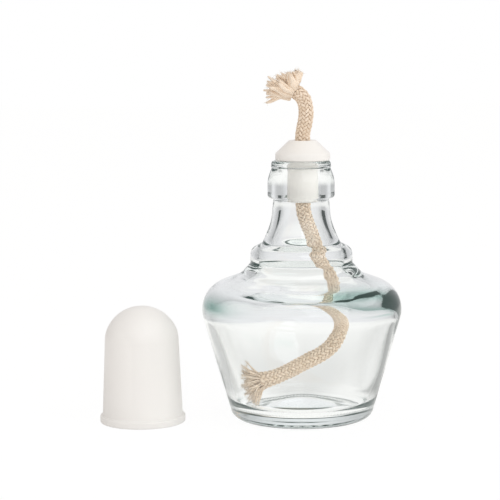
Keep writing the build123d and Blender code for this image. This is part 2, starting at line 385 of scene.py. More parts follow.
def turned(outline, segments, looped=False):
    """Turns an outline of (radius, height) points about the upright axis: each point becomes a ring. A
    looped outline closes on itself, and any other starts and ends on the axis, where each end is one
    pole. Gives the rings' vertices as an array of rings by segments, the poles and the faces."""
    rings = outline if looped else outline[1:-1]
    turn = np.linspace(0, 2 * math.pi, segments, endpoint=False)
    radius, height = rings[:, :1], rings[:, 1:]
    heights = np.broadcast_to(height, (len(rings), segments))
    vertices = np.stack([radius * np.cos(turn), radius * np.sin(turn), heights], axis=-1)
    numbers = np.arange(len(rings) * segments).reshape(len(rings), segments)
    following = np.roll(numbers, -1, axis=1)
    upper, upper_following = np.roll(numbers, -1, axis=0), np.roll(following, -1, axis=0)
    quads = np.stack([numbers, following, upper_following, upper], axis=-1)
    if looped:
        return vertices, np.zeros((0, 3)), quads.reshape(-1, 4).tolist()
    poles = np.array([[0, 0, outline[0, 1]], [0, 0, outline[-1, 1]]])
    first = np.stack([np.full(segments, numbers.size), following[0], numbers[0]], axis=-1)
    last = np.stack([np.full(segments, numbers.size + 1), numbers[-1], following[-1]], axis=-1)
    return vertices, poles, quads[:-1].reshape(-1, 4).tolist() + first.tolist() + last.tolist()


def mesh_piece(name, vertices, faces, material):
    """New smooth-shaded piece at the origin, with its place in its mesh."""
    mesh = bpy.data.meshes.new(name)
    mesh.from_pydata(vertices.reshape(-1, 3).tolist(), [], faces)
    mesh.shade_smooth()
    mesh.materials.append(material)
    piece = bpy.data.objects.new(name, mesh)
    bpy.context.scene.collection.objects.link(piece)
    return piece


def point_values(mesh, name, values):
    """Keeps a value for each vertex under a name that materials can ask for."""
    layer = mesh.attributes.new(name, "FLOAT", "POINT")
    layer.data.foreach_set("value", values.astype(np.float32))


def settle(piece, body, slot, *nodes):
    """Puts a finished piece on its body, in place of the nodes that it stands for."""
    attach(piece, body)
    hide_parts(*nodes)


def hang(piece, *nodes, still=0.03):
    """Puts a finished piece of the wick's tail in place of its nodes and bakes its place into its mesh.
    The still height is not used."""
    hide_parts(*nodes)
    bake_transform(piece)


def new_node(tree, kind, inputs=None, **choices):
    """New shader node. Inputs gives each socket, by name or number, a value or the socket that feeds it."""
    made = tree.nodes.new(kind)
    for choice, value in choices.items():
        setattr(made, choice, value)
    for socket, value in (inputs or {}).items():
        if isinstance(value, bpy.types.NodeSocket):
            tree.links.new(value, made.inputs[socket])
        else:
            made.inputs[socket].default_value = value
    return made


def maths(tree, operation, *values):
    """Result of one operation on numbers or sockets."""
    return new_node(tree, "ShaderNodeMath", dict(enumerate(values)), operation=operation).outputs[0]


def new_material(name, **values):
    """New material whose main shader has these values on its sockets."""
    material = bpy.data.materials.new(name)
    material.use_nodes = True
    shader = material.node_tree.nodes["Principled BSDF"]
    for socket, value in values.items():
        shader.inputs[socket.replace("_", " ")].default_value = value
    return material, material.node_tree, shader


def mixed_colour(tree, factor, first, second):
    """Colour between two colours, by a factor."""
    mix = new_node(tree, "ShaderNodeMix", {0: factor, 6: first, 7: second}, data_type="RGBA")
    return mix.outputs[2]


def opaque(rgb, fall=1.0):
    """Colour with full opacity, deeper by the fall."""
    return (*(share * fall for share in rgb), 1.0)


def object_place(tree):
    """Place of a point on the piece."""
    return new_node(tree, "ShaderNodeTexCoord").outputs["Object"]


def noise(tree, place, scale, detail):
    """Even noise of that scale and detail."""
    inputs = {"Vector": place, "Scale": scale, "Detail": detail}
    return new_node(tree, "ShaderNodeTexNoise", inputs).outputs["Fac"]


def uneven_skin(tree, shader, height, strength, depth):
    """Makes the skin rise and fall with a height, by a strength and a depth in metres."""
    skin = new_node(tree, "ShaderNodeBump", {"Strength": strength, "Distance": depth, "Height": height})
    tree.links.new(skin.outputs["Normal"], shader.inputs["Normal"])


def cloudy_tone(tree, shader, clouds, rgb, fall):
    """Makes the colour drift with the clouds between its own tone and a deeper one."""
    tone = mixed_colour(tree, clouds, opaque(rgb, fall), opaque(rgb))
    tree.links.new(tone, shader.inputs["Base Color"])


def glass_material(finish):
    """Clear fire-polished glass: faint waves on its skin, a green cast that deepens with thickness, and a
    faint painted glow from every face.
    """
    material, tree, shader = new_material(
        "bottle_glass",
        Roughness=0.0,
        IOR=1.5,
        Transmission_Weight=1.0,
        # Painted glow from every face, standing in for light that the thick glass gathers from the bright
        # floor
        Emission_Color=opaque(finish.painted_glass_glow),
        Emission_Strength=finish.painted_glass_glow_strength,
    )
    green = new_node(tree, "ShaderNodeAttribute", attribute_name="green").outputs["Fac"]
    tone = mixed_colour(tree, green, opaque(finish.glass), opaque(finish.glass_green))
    tree.links.new(tone, shader.inputs["Base Color"])
    waves = noise(tree, object_place(tree), scale=55.0, detail=1.0)
    uneven_skin(tree, shader, waves, strength=0.05, depth=0.002)
    thickness = {"Color": opaque(finish.glass_body), "Density": finish.glass_density}
    body = new_node(tree, "ShaderNodeVolumeAbsorption", thickness)
    tree.links.new(body.outputs["Volume"], tree.nodes["Material Output"].inputs["Volume"])
    return material


def porcelain_material(finish):
    """Warm white porcelain under a soft glaze, with slow changes of tone and a slightly uneven skin."""
    material, tree, shader = new_material(
        "holder_porcelain", Roughness=0.34, Coat_Weight=0.25, Coat_Roughness=0.2
    )
    place = object_place(tree)
    cloudy_tone(tree, shader, noise(tree, place, scale=160.0, detail=3.0), finish.porcelain, fall=0.965)
    uneven_skin(tree, shader, noise(tree, place, scale=900.0, detail=2.0), strength=0.08, depth=0.0004)
    return material


def plastic_material(finish):
    """Satin moulded white plastic, with slow changes of tone and a fine matt grain."""
    material, tree, shader = new_material("cap_plastic", Roughness=0.42)
    place = object_place(tree)
    cloudy_tone(tree, shader, noise(tree, place, scale=70.0, detail=2.0), finish.plastic, fall=0.975)
    uneven_skin(tree, shader, noise(tree, place, scale=2600.0, detail=2.0), strength=0.10, depth=0.0002)
    return material


def cotton_material(finish):
    """Unbleached cotton: fibres run along each strand, strands differ in tone, and gaps between them get
    painted shade in a deeper colour."""
    material, tree, shader = new_material(
        "wick_cotton",
        Roughness=0.9,
        Sheen_Weight=0.35,
        Sheen_Roughness=0.6,
        Sheen_Tint=opaque((1.0, 0.95, 0.88)),
    )
    fibre_scale = (420.0, 9.0, 1.0)
    paler_by = 1.08
    deeper_by = (0.90, 0.86, 0.80)
    along = new_node(tree, "ShaderNodeUVMap", uv_map="strand").outputs["UV"]
    stretched = new_node(tree, "ShaderNodeMapping", {"Vector": along, "Scale": fibre_scale})
    fibres = noise(tree, stretched.outputs["Vector"], scale=1.0, detail=3.0)
    tint = new_node(tree, "ShaderNodeAttribute", attribute_name="tint").outputs["Fac"]
    # How deep a point lies between the strands; the deeper, the more painted shade it gets
    hollow = new_node(tree, "ShaderNodeAttribute", attribute_name="hollow").outputs["Fac"]
    paler = opaque([min(1.0, share * paler_by) for share in finish.cotton])
    deeper = opaque([share * fall for share, fall in zip(finish.cotton, deeper_by)])
    strand = mixed_colour(tree, tint, deeper, paler)
    depth = {"Value": fibres, "From Min": 0.35, "From Max": 0.75, "To Min": 0.0, "To Max": 0.28}
    streak = new_node(tree, "ShaderNodeMapRange", depth).outputs["Result"]
    streaked = mixed_colour(tree, streak, strand, opaque(finish.cotton_streak_and_shade))
    # Painted shade: deep points take the shade colour
    tone = mixed_colour(tree, hollow, streaked, opaque(finish.cotton_streak_and_shade))
    tree.links.new(tone, shader.inputs["Base Color"])
    uneven_skin(tree, shader, fibres, strength=0.5, depth=0.0002)
    return material


def kept_material(maker, name):
    """Material of that name, made the first time that a piece asks for it."""
    return bpy.data.materials.get(name) or maker(bpy.context.scene.lamp_finishes)


def bottle_outline(shape):
    """Half-section of the bottle: from the middle of the foot out, up the outside, over the lip, down the
    inside and in to the middle of the floor. Wall and shoulder are lines that touch circles about one
    centre. Also gives the number of points before the inside starts and the bearing ring's two radii."""
    lean, slope = shape.wall_lean, shape.shoulder_slope
    round_centre = shape.body_radius - shape.shoulder_round
    inner_side = shape.shoulder_round - shape.side_wall
    inner_shoulder = shape.shoulder_round - shape.shoulder_wall
    foot_turn = math.tan((math.pi / 2 - lean) / 2)

    def corner(side_reach, shoulder_reach):
        """Radius and height at which a wall and a shoulder meet, each its reach from the centre."""
        spread = math.cos(slope - lean)
        out = (side_reach * math.cos(slope) + shoulder_reach * math.sin(lean)) / spread
        up = (shoulder_reach * math.cos(lean) - side_reach * math.sin(slope)) / spread
        return round_centre + out, shape.widest_height + up

    def wall_radius(height, reach):
        """Radius of a wall at a height."""
        return round_centre + (reach + (height - shape.widest_height) * math.sin(lean)) / math.cos(lean)

    def shoulder_height(radius, reach):
        """Height of a shoulder at a radius."""
        return shape.widest_height + (reach - (radius - round_centre) * math.sin(slope)) / math.cos(slope)

    ramp = shape.collar_radius + shape.collar_ramp_width
    collar_foot = shoulder_height(shape.collar_radius, shape.shoulder_round) + shape.collar_ramp_rise
    collar_top = collar_foot + shape.collar_side
    neck_foot = collar_top + shape.shelf_rise
    bead_foot = neck_foot + shape.neck_height
    bead_top = bead_foot + shape.bead_side
    groove = bead_top + shape.bead_cone
    top = groove + shape.lip_height
    foot_corner = wall_radius(0, shape.shoulder_round)
    bearing_out = foot_corner - shape.foot_round * foot_turn
    bearing_in = bearing_out - shape.bearing_width
    floor_corner = wall_radius(shape.floor_thickness, inner_side)
    floor_dome = floor_corner - shape.floor_round * foot_turn - shape.floor_ledge
    hollow = shape.collar_radius - shape.collar_wall
    ramp_hollow = hollow + shape.collar_ramp_width
    fine = shape.fine_round
    outside = [
        (bearing_in, 0, 0),
        (foot_corner, 0, shape.foot_round),
        (*corner(shape.shoulder_round, shape.shoulder_round), shape.shoulder_round),
        (ramp, shoulder_height(ramp, shape.shoulder_round), 2 * shape.collar_ramp_width),
        (shape.collar_radius, collar_foot, shape.collar_foot_round),
        (shape.collar_radius, collar_top, shape.collar_round),
        (shape.neck_foot_radius, neck_foot, shape.neck_foot_round),
        (shape.neck_waist_radius, neck_foot + shape.neck_waist_rise, shape.neck_sweep),
        (shape.neck_radius, bead_foot, fine),
        (shape.bead_radius, bead_foot, shape.bead_foot_round),
        (shape.bead_radius, bead_top, shape.bead_round),
        (shape.lip_radius - shape.lip_groove, groove, fine),
        (shape.lip_radius, groove + shape.lip_groove, fine),
        (shape.lip_radius, top, shape.lip_round),
        ((shape.lip_radius + shape.mouth_radius) / 2, top, 0),
    ]
    inside = [
        outside[-1],
        (shape.mouth_radius, top, shape.lip_round),
        (shape.mouth_radius, top - shape.mouth_depth, shape.inner_neck_sweep),
        (shape.neck_foot_radius - shape.collar_wall, neck_foot - fine, shape.inner_round),
        (hollow, collar_top - shape.collar_wall / 2, shape.collar_inner_round),
        (hollow, shoulder_height(hollow, inner_shoulder) + shape.collar_ramp_rise, shape.inner_round),
        (ramp_hollow, shoulder_height(ramp_hollow, inner_shoulder), shape.inner_round),
        (*corner(inner_side, inner_shoulder), shape.shoulder_inner_round),
        (floor_corner, shape.floor_thickness, shape.floor_round),
        (floor_dome, shape.floor_thickness, 0),
    ]
    underside = domed(bearing_in, 0, shape.push_up)
    floor = domed(floor_dome, shape.floor_thickness, shape.push_up)[::-1]
    outer = without_repeats(np.concatenate([underside, rounded_outline(outside)]))
    inner = rounded_outline(inside)[1:]
    return without_repeats(np.concatenate([outer, inner, floor])), len(outer), bearing_in, bearing_out


def domed(rim_radius, rim_height, rise, count=9):
    """Points from the axis out to a rim, on the circle that meets the axis square and rises that far."""
    ball = (rim_radius**2 + rise**2) / (2 * rise)
    half_angle = math.asin(rim_radius / ball)
    return arc((0, rim_height + rise - ball), ball, math.pi / 2, math.pi / 2 - half_angle, count)


def bell(rise, turn, focus):
    """One at no rise and no turn. It falls off as a bell up and down, and round the axis with the cosine
    of the turn, the faster the larger the focus is."""
    return np.exp(-(rise**2) + focus * (np.cos(turn) - 1))


def gathered(shape, height, turn):
    """Extra thickness of the glass gathered in the shoulder: a large bell on the right and a small one on
    the left."""
    right_rise = (height - shape.gather_right_height) / shape.gather_right_reach
    right = bell(right_rise, turn - shape.gather_right_turn, shape.gather_right_focus)
    left_rise = (height - shape.gather_left_height) / shape.gather_left_reach
    left = bell(left_rise, turn - shape.gather_left_turn, shape.gather_left_focus)
    return shape.gather_right * right + shape.gather_left * left


def green_share(shape, height, turn):
    """Share of green in the glass: a streak that is a bell in height, falls towards the right and fades
    at both ends, and a patch on the left gather."""
    falling = smooth_step(shape.streak_fall_start, shape.streak_fall_end, turn)
    streak_rise = (height - shape.streak_height + shape.streak_fall * falling) / shape.streak_reach
    begun = smooth_step(shape.streak_start, shape.streak_full, turn)
    ended = smooth_step(shape.streak_fade, shape.streak_end, turn)
    streak = np.exp(-(streak_rise**2)) * begun * (1 - ended)
    patch_rise = (height - shape.gather_left_height) / shape.patch_reach
    return streak + bell(patch_rise, turn - shape.gather_left_turn, shape.patch_focus)


def blown_glass(vertices, first_inner, shape, bearing_in, bearing_out, down=0.6):
    """Puts the marks of blowing and pressing into the rings and gives their share of green. The bearing
    ring's grooves are the depth times a raised cosine round the ring and the root of a sine across it.
    Inside, the wall thickens inwards, and down by a share, by slow sine waves that twist round the
    axis, and by the gathered glass."""
    x, y, height = np.moveaxis(vertices.copy(), -1, 0)
    radius, turn = np.hypot(x, y), np.arctan2(y, x)
    outer = np.arange(len(vertices))[:, None] < first_inner
    across = np.clip((radius - bearing_in) / (bearing_out - bearing_in), 0, 1)
    ring = np.sin(math.pi * across) ** 0.5 * (outer & (height < shape.knurl_depth / 2))
    groove = (1 - np.cos(shape.knurl_count * turn)) / 2
    # Share, number round the axis, twist in radians per metre and start of each wave
    ripples = [(1.0, 2, 90, 0.6), (0.7, 5, -160, 2.1), (0.5, 9, 40, 0.0)]
    waves = sum(
        share * np.sin(count * turn + twist * height + start) for share, count, twist, start in ripples
    )
    rippled = shape.ripple * waves * smooth_step(shape.ripple_start, shape.ripple_full, height)
    uneven = 1 - smooth_step(shape.even_start, shape.even_full, height)
    thicker = (rippled + gathered(shape, height, turn)) * uneven * ~outer
    inward = np.stack([-np.cos(turn), -np.sin(turn), np.full_like(turn, -down)], axis=-1)
    vertices += thicker[..., None] * inward
    vertices[..., 2] += shape.knurl_depth * groove * ring
    return green_share(shape, height, turn) * outer


def holder_outline(shape):
    """Half-section of the holder as a loop: the sleeve's foot, its side, the flange, the cone and the
    bore."""
    flange_foot = lip_top
    foot, top = holder_low.z, holder_high.z
    middle = (shape.bore_radius, (foot + top) / 2, 0)
    corners = [
        middle,
        (shape.bore_radius, foot, shape.bore_round),
        (shape.sleeve_radius, foot, shape.sleeve_round),
        (shape.sleeve_radius, flange_foot, shape.flange_round),
        (shape.flange_radius, flange_foot, shape.flange_round),
        (shape.flange_radius, flange_foot + shape.flange_band, shape.flange_round),
        (shape.bore_radius + shape.rim_width, top, shape.flange_round),
        (shape.bore_radius, top, shape.bore_round),
        middle,
    ]
    return rounded_outline(corners, spacing=0.0016, arc_spacing=0.0002)[:-1]


def oval_dome(rim_radius, rim_height, rise, shoulder, side_count=14, top_count=12):
    """Upright shoulder arc from a rim, then the flatter crown arc that it runs into, up to the axis."""
    inset = rim_radius - shoulder
    crown = (inset**2 + rise**2 - shoulder**2) / (2 * (rise - shoulder))
    turn = math.atan2(crown - rise, inset)
    side = arc((inset, rim_height), shoulder, 0, turn, side_count)
    top = arc((0, rim_height + rise - crown), crown, turn, math.pi / 2, top_count)
    return without_repeats(np.concatenate([side, top]))


def cap_outline(shape):
    """Half-section of the cap: from the axis down the inside, round the rim and up the outside to the
    axis."""
    foot_radius = shape.top_radius + shape.skirt_spread
    rim_radius = foot_radius + shape.rim_proud
    hollow_dome = oval_dome(
        shape.top_radius - shape.wall,
        shape.skirt_height,
        shape.dome_rise - shape.wall,
        shape.dome_shoulder - shape.wall,
    )
    dome = oval_dome(shape.top_radius, shape.skirt_height, shape.dome_rise, shape.dome_shoulder)
    skirt = rounded_outline([
        (*hollow_dome[0], 0),
        (foot_radius - shape.wall, 0, shape.rim_round),
        (rim_radius, 0, shape.rim_round),
        (rim_radius, shape.rim_height, shape.rim_round),
        (foot_radius, shape.rim_height, shape.rim_round),
        (*dome[0], 0),
    ])
    return without_repeats(np.concatenate([hollow_dome[::-1], skirt, dome]))


def route_points(name, route, order=3, steps_each=24):
    """Points on the smooth line of a route: a NURBS spline that has the route as its control points."""
    curve = bpy.data.curves.new(name, "CURVE")
    curve.dimensions = "3D"
    spline = curve.splines.new("NURBS")
    spline.points.add(len(route) - 1)
    spline.points.foreach_set("co", [value for point in route for value in (*point, 1.0)])
    spline.order_u = order
    spline.use_endpoint_u = True
    spline.resolution_u = steps_each
    line = bpy.data.objects.new(name, curve)
    mesh = bpy.data.meshes.new_from_object(line)
    points = np.empty(len(mesh.vertices) * 3)
    mesh.vertices.foreach_get("co", points)
    bpy.data.meshes.remove(mesh)
    bpy.data.objects.remove(line)
    bpy.data.curves.remove(curve)
    return points.reshape(-1, 3)


def line_frame(points, spacing):
    """Even steps along a line: the distance, the place, and two directions square to the line, of which
    the first is the one nearest to +Y."""
    travelled = np.concatenate([[0], np.cumsum(np.linalg.norm(np.diff(points, axis=0), axis=1))])
    distance = np.linspace(0, travelled[-1], math.ceil(travelled[-1] / spacing) + 1)
    place = np.stack([np.interp(distance, travelled, points[:, axis]) for axis in range(3)], axis=1)
    ahead = unit(np.gradient(place, axis=0))
    side = unit(np.array([0, 1, 0]) - ahead[:, 1:2] * ahead)
    return distance, place, side, np.cross(ahead, side)


def tubes(lines, deep, half_width, half_depth, sides):
    """Oval tubes along many lines at once: each ring is the cosine times the half width across the line
    plus the sine times the half depth along the deep direction. Gives vertices as lines by steps by
    sides, and faces."""
    ahead = unit(np.gradient(lines, axis=1))
    deep = unit(deep - (deep * ahead).sum(-1, keepdims=True) * ahead)
    wide = np.cross(deep, ahead)
    turn = np.linspace(0, 2 * math.pi, sides, endpoint=False)[:, None]
    half_width = np.broadcast_to(half_width, lines.shape[:2])[..., None, None]
    half_depth = np.broadcast_to(half_depth, lines.shape[:2])[..., None, None]
    ring = half_width * np.cos(turn) * wide[:, :, None] + half_depth * np.sin(turn) * deep[:, :, None]
    vertices = lines[:, :, None] + ring
    numbers = np.arange(vertices[..., 0].size).reshape(vertices.shape[:3])
    following = np.roll(numbers, -1, axis=2)
    quads = np.stack([numbers[:, :-1], following[:, :-1], following[:, 1:], numbers[:, 1:]], axis=-1)
    ends = np.concatenate([numbers[:, 0, ::-1], numbers[:, -1]])
    return vertices, quads.reshape(-1, 4), ends


def strand_map(vertices, lines):
    """Map of tubes for fibres: the distance along the line in metres, and the turn from 1 to 0 and back
    to 1."""
    steps = np.linalg.norm(np.diff(lines, axis=1), axis=2)
    along = np.concatenate([np.zeros((len(lines), 1)), np.cumsum(steps, axis=1)], axis=1)
    sides = vertices.shape[2]
    turn = np.abs(np.linspace(-1, 1, sides, endpoint=False))
    shape = vertices.shape[:3]
    return np.stack([np.broadcast_to(along[..., None], shape), np.broadcast_to(turn, shape)], axis=-1)


def yarn_piece(name, bundles, material):
    """One piece from bundles of tubes. A bundle is its vertices, its quads, its end faces, its map, and
    the tint and the hollow of each vertex, which sets how much painted shade it gets."""
    start = 0
    faces, places, maps, tints, painted_shades = [], [], [], [], []
    for vertices, quads, ends, strand, tint, hollow in bundles:
        faces += (quads + start).tolist() + (ends + start).tolist()
        places.append(vertices.reshape(-1, 3))
        maps.append(strand.reshape(-1, 2))
        tints.append(np.broadcast_to(tint, vertices.shape[:3]).ravel())
        painted_shades.append(np.broadcast_to(hollow, vertices.shape[:3]).ravel())
        start += len(places[-1])
    piece = mesh_piece(name, np.concatenate(places), faces, material)
    mesh = piece.data
    corners = np.empty(len(mesh.loops), np.int32)
    mesh.loops.foreach_get("vertex_index", corners)
    strand_layer = mesh.uv_layers.new(name="strand")
    strand_layer.data.foreach_set("uv", np.concatenate(maps)[corners].ravel())
    point_values(mesh, "tint", np.concatenate(tints))
    point_values(mesh, "hollow", np.concatenate(painted_shades))
    return piece


def braid(points, shape, chance, flare=0.0, flare_length=0.006, steps_each=2.5):
    """Round braid along a line. A strand turns once round in a pitch, half of the strands each way. Along
    a strand the crossings lie a pitch over twice the strands apart, and it goes over two and under two
    of them: its height is a cosine of four crossings. It strays by a slow sine. The flare widens the
    end. Inside is the core."""
    crossing = shape.pitch / (2 * shape.strands)
    distance, place, side, up = line_frame(points, crossing / steps_each)
    way = np.repeat([1, -1], shape.strands)[:, None]
    number = np.tile(np.arange(shape.strands), 2)[:, None]
    each = (len(way), 1)
    turn = way * 2 * math.pi * distance / shape.pitch + 2 * math.pi * number / shape.strands
    weave = way * np.cos(math.pi / 2 * (2 * number + way * distance / crossing - 0.5))
    middle = shape.diameter / 2 - shape.weave_depth - shape.strand_depth / 2
    swell = 1 + flare * smooth_step(distance[-1] - flare_length, distance[-1], distance)
    stray = chance.normal(0, shape.stray, each)
    stray = stray * np.sin(distance / shape.stray_length + chance.uniform(0, 6, each))
    reach = (middle + shape.weave_depth * weave + stray) * swell
    out = np.cos(turn)[..., None] * side + np.sin(turn)[..., None] * up
    lines = place + reach[..., None] * out
    half_width = shape.strand_width / 2 * (1 + shape.strand_change * chance.normal(0, 1, each)) * swell
    vertices, quads, ends = tubes(lines, out, half_width, shape.strand_depth / 2, sides=10)
    skin = shape.diameter / 2 * swell[None, :, None]
    # Painted shade: the deeper a point of a strand lies under the braid's skin, the darker it is painted
    depth = skin - np.linalg.norm(vertices - place[None, :, None], axis=-1)
    deepest = shape.strand_depth + shape.weave_depth
    hollow = smooth_step(shape.gap_shade_start, shape.gap_shade_end, depth / deepest)
    tint = chance.uniform(0, 1, (*each, 1))
    strands = vertices, quads, ends, strand_map(vertices, lines), tint, hollow
    core_line = place[None]
    core, quads, ends = tubes(core_line, side[None], shape.core_radius, shape.core_radius, sides=24)
    # Painted shade: the core is painted all over in the shade colour, for the shade inside the braid
    core_tint = 0.3
    return [strands, (core, quads, ends, strand_map(core, core_line), core_tint, 1.0)]


def wick_line(start, route):
    """Route in the part's frame, from its start height on the holder's axis."""
    return [(holder_x + x, y, start + z) for x, y, z in route]


def upper_route():
    """Route of the wick from the sleeve's foot through the bore and out at the top."""
    return [(holder_x, 0.0, holder_low.z), *wick_line(holder_high.z, top_route)]


def fray(points, shape, chance, roots, aims, lengths, lead, width, steps=12, sides=9):
    """Loose yarns at the end of a line. A yarn leaves its root along the line and turns to its aim: a
    curve of second degree from the root, through a point the lead ahead, to the tip. It sways by a
    sine, thins at its tip and grows paler towards it. Its plies stand out by a cosine that turns along
    it, and its end opens into fibres."""
    sway = 0.0007
    sway_turn = 7
    thinnest, thickest = 0.85, 1.15
    taper = 0.6
    taper_power = 8
    flatness = 0.85
    plies = 3
    ply_turn = 9
    ply_depth = 0.13
    root_reach = 0.006
    root_shade = 0.55
    deep_tint, pale_tint = 0.2, 0.8
    tip_paler = 0.6
    count = len(roots)
    end, ahead = points[-1], unit(points[-1] - points[-2])
    share = np.linspace(0, 1, steps)[None, :, None]
    first = roots[:, None]
    middle = first + lead * ahead
    last = middle + (lengths[:, None] * aims)[:, None]
    lines = (1 - share) ** 2 * first + 2 * share * (1 - share) * middle + share**2 * last
    swing = chance.normal(0, sway, (count, 1, 3))
    lines = lines + swing * np.sin(share * sway_turn + chance.uniform(0, 6, (count, 1, 1))) * share
    deep = np.broadcast_to(unit(chance.normal(0, 1, (count, 1, 3))), lines.shape)
    thick = width[:, None] / 2 * chance.uniform(thinnest, thickest, (count, 1))
    thick = thick * (1 - taper * share[..., 0] ** taper_power)
    vertices, quads, ends = tubes(lines, deep, thick, thick * flatness, sides)
    turn = np.linspace(0, 2 * math.pi, sides, endpoint=False)
    ply = np.cos(plies * turn - ply_turn * share)[..., None]
    vertices = lines[:, :, None] + (vertices - lines[:, :, None]) * (1 + ply_depth * ply)
    tint = np.minimum(1, chance.uniform(deep_tint, pale_tint, (count, 1, 1)) + tip_paler * share)
    # Painted shade: yarns are painted darker near the wick's end, where they crowd together
    inner = 1 - smooth_step(0.0, root_reach, np.linalg.norm(vertices - end, axis=-1))
    yarns = vertices, quads, ends, strand_map(vertices, lines), tint, root_shade * inner
    return [yarns, tip_fibres(lines, thick, shape, chance)]


def tip_fibres(lines, thick, shape, chance, each=16, steps=4, sides=3):
    """Fine fibres at the tips of yarns: each leaves its yarn near the end and spreads from it on a slight
    curve."""
    root_scatter = 0.5
    shortest, longest = 0.0008, 0.0020
    spread = 0.35
    curve = 0.0003
    taper = 0.6
    deep_tint, pale_tint = 0.7, 1
    many = (len(lines), each, 3)
    start = lines[:, -2][:, None] + chance.normal(0, root_scatter, many) * thick[:, -1, None, None]
    ahead = unit(lines[:, -1] - lines[:, -3])[:, None]
    aim = unit(ahead + chance.normal(0, spread, many))
    reach = chance.uniform(shortest, longest, (len(lines), each, 1)).reshape(-1, 1, 1)
    bend = chance.normal(0, curve, many)
    share = np.linspace(0, 1, steps)[None, :, None]
    start, aim, bend = (values.reshape(-1, 1, 3) for values in (start, aim, bend))
    fibres = start + aim * reach * share + bend * share**2
    deep = np.broadcast_to(unit(chance.normal(0, 1, (len(fibres), 1, 3))), fibres.shape)
    half = shape.fibre_width / 2 * (1 - taper * share[..., 0])
    vertices, quads, ends = tubes(fibres, deep, half, half, sides)
    tint = chance.uniform(deep_tint, pale_tint, (len(fibres), 1, 1))
    return vertices, quads, ends, strand_map(vertices, fibres), tint, 0.0


def fan(bearing, depth):
    """Directions from the bearing, as seen from the front, and the turn away from the front."""
    flat = np.cos(depth)
    return np.stack([np.cos(bearing) * flat, np.sin(depth), np.sin(bearing) * flat], axis=1)


def tuft(chance, count, start, rise_way, spread, bearings, opening, scatter):
    """Roots and aims of loose yarns. The roots lie on a disc round the start, which one direction and +Y
    span. With the rise of its root, a yarn's bearing goes through the three given, with the depth of
    its root it opens to the back or the front, and both scatter. Angles are in degrees. Gives the
    rises too, from -1 to 1."""
    rise, away = disc_spots(count)
    roots = start + spread * (rise[:, None] * rise_way + away[:, None] * np.array([0.0, 1.0, 0.0]))
    bearing = np.interp(rise, [-1, 0, 1], bearings) + chance.normal(0, scatter[0], count)
    depth = opening * away + chance.normal(0, scatter[1], count)
    return rise, roots, fan(np.radians(bearing), np.radians(depth))


def disc_spots(count):
    """Spots spread evenly over a disc of radius one, each a golden angle round from the last."""
    number = np.arange(count) + 0.5
    reach, turn = np.sqrt(number / count), number * math.pi * (3 - math.sqrt(5))
    return reach * np.cos(turn), reach * np.sin(turn)


